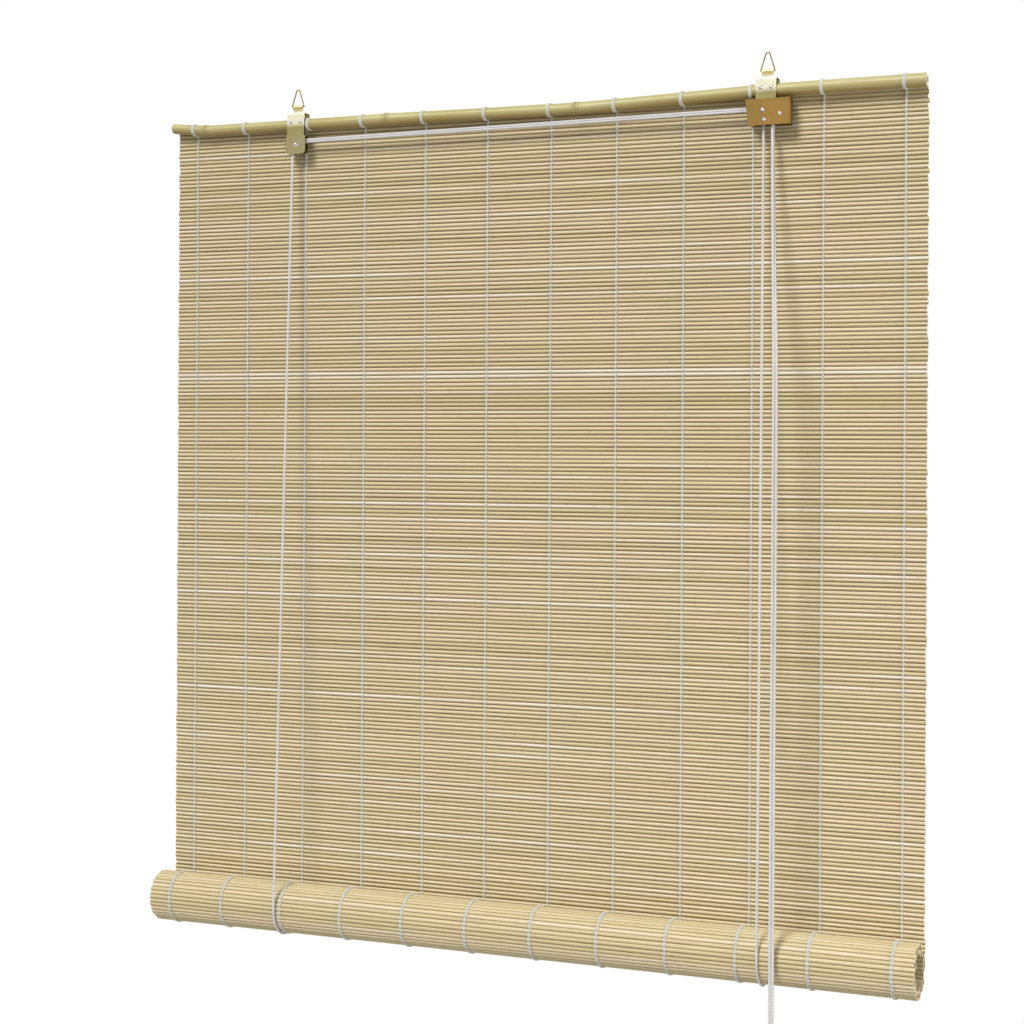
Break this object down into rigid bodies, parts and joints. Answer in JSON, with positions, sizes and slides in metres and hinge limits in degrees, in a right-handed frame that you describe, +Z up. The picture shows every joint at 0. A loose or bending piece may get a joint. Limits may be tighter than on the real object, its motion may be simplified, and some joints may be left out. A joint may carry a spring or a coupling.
{
  "type": "bamboo roll up blind",
  "caption": "Bamboo roll up blind: a woven reed mat on a bamboo pole, rolled at its foot in two lift cords, with a pulley, a cord lock, a pull cord and two wire hanger loops",
  "frame": {"origin": "Midway between the seats of the two hanger loops, the highest inner points of their wire, where hooks carry the blind", "axes": "+Z up, +X to the viewer's right along the pole, +Y away from the viewer towards the wall or window"},
  "size_m": [1.2009, 0.0981, 1.4001],
  "materials": {
    "bamboo": "smooth pale green-gold bamboo culm",
    "reed": "dry straw coloured reeds, matte",
    "string": "twisted off-white weaving string",
    "pale_brass": "pale brass plated sheet",
    "brass": "brown brass plated sheet",
    "steel": "bright plated steel",
    "cord": "braided off-white cord",
    "turned_wood": "turned pale wood"
  },
  "bodies": {
    "headrail": {"bamboo_pole": "bamboo", "pole_ties": "string", "reed_mat": "reed", "mat_strings": "string", "left_bracket": "pale_brass", "right_bracket": "pale_brass", "bracket_screws": "steel", "left_pulley_cover": "brass", "left_sheave_pin": "steel", "lock_cover": "brass", "lock_sheave_pin": "steel", "lock_rivets": "steel", "dog_pin": "steel", "left_lift_cord_back": "cord", "right_lift_cord_back": "cord", "left_lift_cord_front": "cord", "right_lift_cord_front": "cord", "crossing_cord": "cord", "lock_cord_turn": "cord", "left_pull_cord": "cord", "right_pull_cord": "cord"},
    "left_loop": {"left_hanger_loop": "steel"},
    "right_loop": {"right_hanger_loop": "steel"},
    "left_wheel": {"left_sheave": "steel"},
    "lock_wheel": {"lock_sheave": "steel"},
    "dog": {"locking_dog": "steel"},
    "slings": {"left_cord_sling": "cord", "right_cord_sling": "cord"},
    "roll": {"mat_roll": "reed", "roll_strings": "string", "bottom_rod": "bamboo"},
    "pull_end": {"left_pull_tail": "cord", "right_pull_tail": "cord", "cord_tassel": "turned_wood"}
  },
  "joints": [
    {"name": "left_loop_swing", "type": "hinge", "parent": "headrail", "child": "left_loop", "pos_m": [-0.375, 0, -0.02845], "axis": [1, 0, 0], "range_deg": [-85, 85]},
    {"name": "right_loop_swing", "type": "hinge", "parent": "headrail", "child": "right_loop", "pos_m": [0.375, 0, -0.02246], "axis": [1, 0, 0], "range_deg": [-85, 85]},
    {"name": "roll_lift", "type": "slide", "parent": "headrail", "child": "slings", "axis": [0, 0, 1], "range_m": [-0.34, 1.09], "deforming": ["reed_mat", "mat_strings", "left_lift_cord_back", "right_lift_cord_back", "left_lift_cord_front", "right_lift_cord_front", "left_pull_cord", "right_pull_cord"]},
    {"name": "roll_turn", "type": "hinge", "parent": "slings", "child": "roll", "pos_m": [0, -0.0237, -1.26646], "axis": [1, 0, 0], "range_deg": [-1680, 530]},
    {"name": "pull_run", "type": "slide", "parent": "slings", "child": "pull_end", "axis": [0, 0, 1], "range_m": [-3.3, 1.05], "deforming": ["left_pull_tail", "right_pull_tail"]},
    {"name": "left_sheave_turn", "type": "hinge", "parent": "headrail", "child": "left_wheel", "pos_m": [-0.375, -0.0042, -0.08795], "axis": [0, 1, 0], "continuous": true},
    {"name": "lock_sheave_turn", "type": "hinge", "parent": "headrail", "child": "lock_wheel", "pos_m": [0.3765, -0.0034, -0.08196], "axis": [0, 1, 0], "continuous": true},
    {"name": "dog_swing", "type": "hinge", "parent": "headrail", "child": "dog", "pos_m": [0.3952, -0.0034, -0.08496], "axis": [0, 1, 0], "range_deg": [0, 30]}
  ],
  "couplings": [
    {"joint": "roll_turn", "follows": "roll_lift", "rad_per_m": -26.455},
    {"joint": "left_sheave_turn", "follows": "roll_lift", "rad_per_m": 285.71},
    {"joint": "lock_sheave_turn", "follows": "roll_lift", "rad_per_m": 285.71},
    {"joint": "pull_run", "follows": "roll_lift", "ratio": -3}
  ]
}
